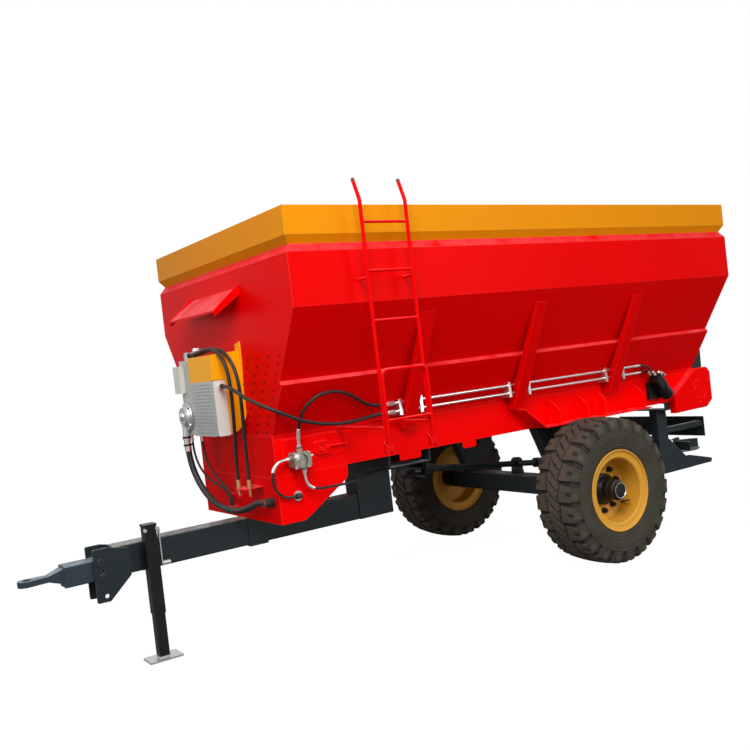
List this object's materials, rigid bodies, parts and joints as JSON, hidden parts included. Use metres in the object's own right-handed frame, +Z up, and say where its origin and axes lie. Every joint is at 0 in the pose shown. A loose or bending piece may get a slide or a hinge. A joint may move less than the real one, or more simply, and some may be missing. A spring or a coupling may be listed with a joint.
{
  "type": "manure spreader",
  "caption": "Towed hopper spreader with a slatted floor, a discharge gate and two spinning discs, carried on an axle and a parking jack.",
  "frame": {"origin": "on the ground at half the overall length, on the centre plane of the hopper", "axes": "+X forward to the towing eye, +Y to the left side of the machine, +Z up"},
  "size_m": [6.1049, 2.387, 2.8862],
  "materials": {
    "red_paint": "gloss enamel, a little road dust",
    "yellow_paint": "satin enamel",
    "dark_paint": "satin enamel, dark slate",
    "rim_paint": "satin enamel",
    "tyre": "dusty rubber",
    "forged_steel": "blued forging",
    "black_steel": "semi-gloss black",
    "plated_steel": "zinc plated",
    "bare_steel": "worn steel",
    "aluminium": "cast and finned",
    "grey_paint": "satin grey",
    "hose_rubber": "matt black, wrapped"
  },
  "bodies": {
    "root": {"axle": "dark_paint", "axle_hangers": "dark_paint", "brim": "red_paint", "chain_floor": "bare_steel", "conveyor_motor": "black_steel", "cooler": "aluminium", "couplers": "plated_steel", "drawbar": "dark_paint", "extension_band": "yellow_paint", "floor": "red_paint", "front_cheeks": "red_paint", "front_plate": "red_paint", "gear_case": "dark_paint", "hitch_eye": "forged_steel", "hood": "red_paint", "hose_cheek": "hose_rubber", "hose_cooler": "hose_rubber", "hose_drive_foot": "hose_rubber", "hose_drive_top": "hose_rubber", "hose_lift": "hose_rubber", "hose_motor": "hose_rubber", "hose_pump_a": "hose_rubber", "hose_pump_b": "hose_rubber", "hose_return_a": "hose_rubber", "hose_return_b": "hose_rubber", "hose_suction": "hose_rubber", "jack_crank": "plated_steel", "jack_tube": "black_steel", "ladder_upper": "red_paint", "lift_barrel": "black_steel", "pipes": "plated_steel", "pump": "aluminium", "pump_panel": "grey_paint", "rail_left": "red_paint", "rail_right": "red_paint", "rear_covers": "red_paint", "rear_plate": "red_paint", "ribs": "red_paint", "shaft_front": "bare_steel", "shaft_rear": "bare_steel", "side_left": "red_paint", "side_right": "red_paint", "spinner_motor": "dark_paint", "tail_frame": "dark_paint", "tank": "yellow_paint", "tensioners": "red_paint", "valve": "aluminium"},
    "wheel_left": {"tyre_left": "tyre", "rim_left": "rim_paint", "hub_left": "black_steel"},
    "wheel_right": {"tyre_right": "tyre", "rim_right": "rim_paint", "hub_right": "black_steel"},
    "spinner_left": {"spinner_left": "bare_steel"},
    "spinner_right": {"spinner_right": "bare_steel"},
    "drive_shaft": {"drive_shaft": "dark_paint"},
    "jack_leg": {"jack_leg": "plated_steel"},
    "ladder_lower": {"ladder_lower": "red_paint"},
    "gate": {"gate": "red_paint", "lift_rod": "plated_steel"}
  },
  "joints": [
    {"name": "wheel_left_spin", "type": "hinge", "parent": "root", "child": "wheel_left", "pos_m": [-1.0425, 0.966, 0.556], "axis": [0, 1, 0], "continuous": true},
    {"name": "wheel_right_spin", "type": "hinge", "parent": "root", "child": "wheel_right", "pos_m": [-1.0425, -0.966, 0.556], "axis": [0, 1, 0], "continuous": true},
    {"name": "spinner_left_spin", "type": "hinge", "parent": "root", "child": "spinner_left", "pos_m": [-2.7825, 0.27, 0.575], "axis": [0, 0, 1], "continuous": true},
    {"name": "spinner_right_spin", "type": "hinge", "parent": "root", "child": "spinner_right", "pos_m": [-2.7825, -0.27, 0.575], "axis": [0, 0, 1], "continuous": true},
    {"name": "drive_shaft_spin", "type": "hinge", "parent": "root", "child": "drive_shaft", "pos_m": [-1.0425, 0, 0.715], "axis": [0.9929, 0, 0.1191], "continuous": true},
    {"name": "jack_leg_slide", "type": "slide", "parent": "root", "child": "jack_leg", "axis": [0, 0, 1], "range_m": [-0.08, 0.27]},
    {"name": "ladder_fold", "type": "hinge", "parent": "root", "child": "ladder_lower", "pos_m": [0.7025, 1.1945, 1.19], "axis": [-1, 0, 0], "range_deg": [0, 178]},
    {"name": "gate_lift", "type": "slide", "parent": "root", "child": "gate", "axis": [0, 0, 1], "range_m": [0, 0.3]}
  ],
  "couplings": [
    {"joint": "spinner_right_spin", "follows": "spinner_left_spin", "ratio": -1},
    {"joint": "drive_shaft_spin", "follows": "spinner_left_spin", "ratio": 1}
  ]
}
